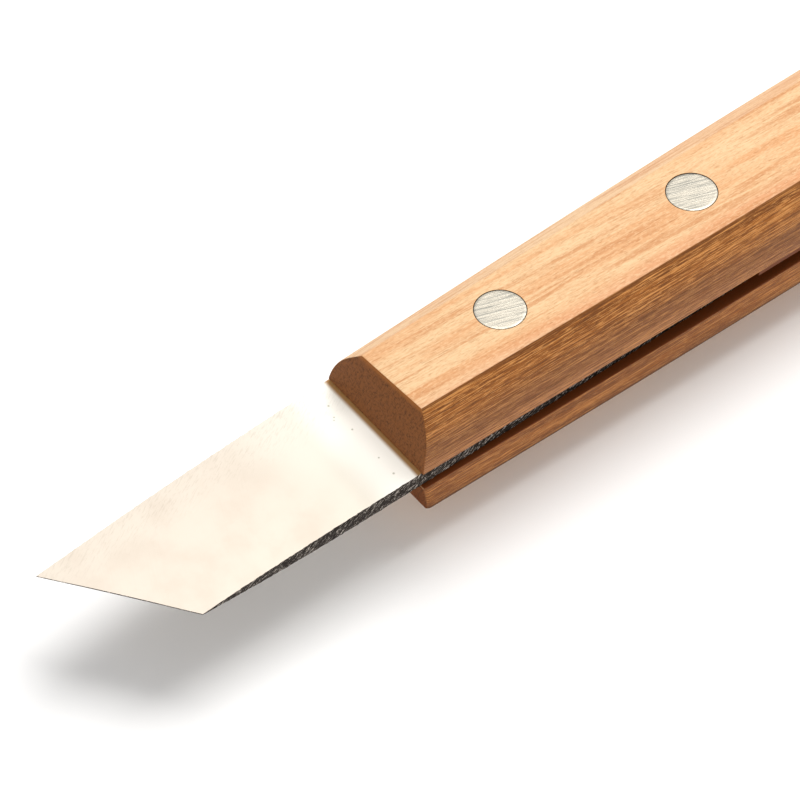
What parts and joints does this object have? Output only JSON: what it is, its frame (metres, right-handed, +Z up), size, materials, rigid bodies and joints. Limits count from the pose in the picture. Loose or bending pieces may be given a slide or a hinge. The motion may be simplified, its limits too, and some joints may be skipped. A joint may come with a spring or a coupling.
{
  "type": "lino cutter",
  "caption": "Hand cutter for lino and card: a flat skew steel blade with a short tang, riveted between a thick upper and a thin lower wooden scale.",
  "frame": {"origin": "on the flat underside of the lower scale, under the middle of the outline seen from above", "axes": "+X along the knife from the point to the butt; +Y from the blade's heel side to its point side; +Z up, square to the blade's faces"},
  "size_m": [0.1574, 0.0198, 0.0187],
  "materials": {
    "blade_steel": "finely ground faces, rough ground sides",
    "upper_scale_wood": "sanded and lightly oiled, pale fruitwood",
    "lower_scale_wood": "sanded and lightly oiled, pale fruitwood",
    "spacer_wood": "dark, unfinished",
    "rivet_aluminium": "ground flush, brushed"
  },
  "bodies": {
    "root": {"blade": "blade_steel", "upper_scale": "upper_scale_wood", "lower_scale": "lower_scale_wood", "tail_spacer": "spacer_wood", "front_rivet": "rivet_aluminium", "middle_rivet": "rivet_aluminium", "rear_rivet": "rivet_aluminium"}
  },
  "joints": []
}
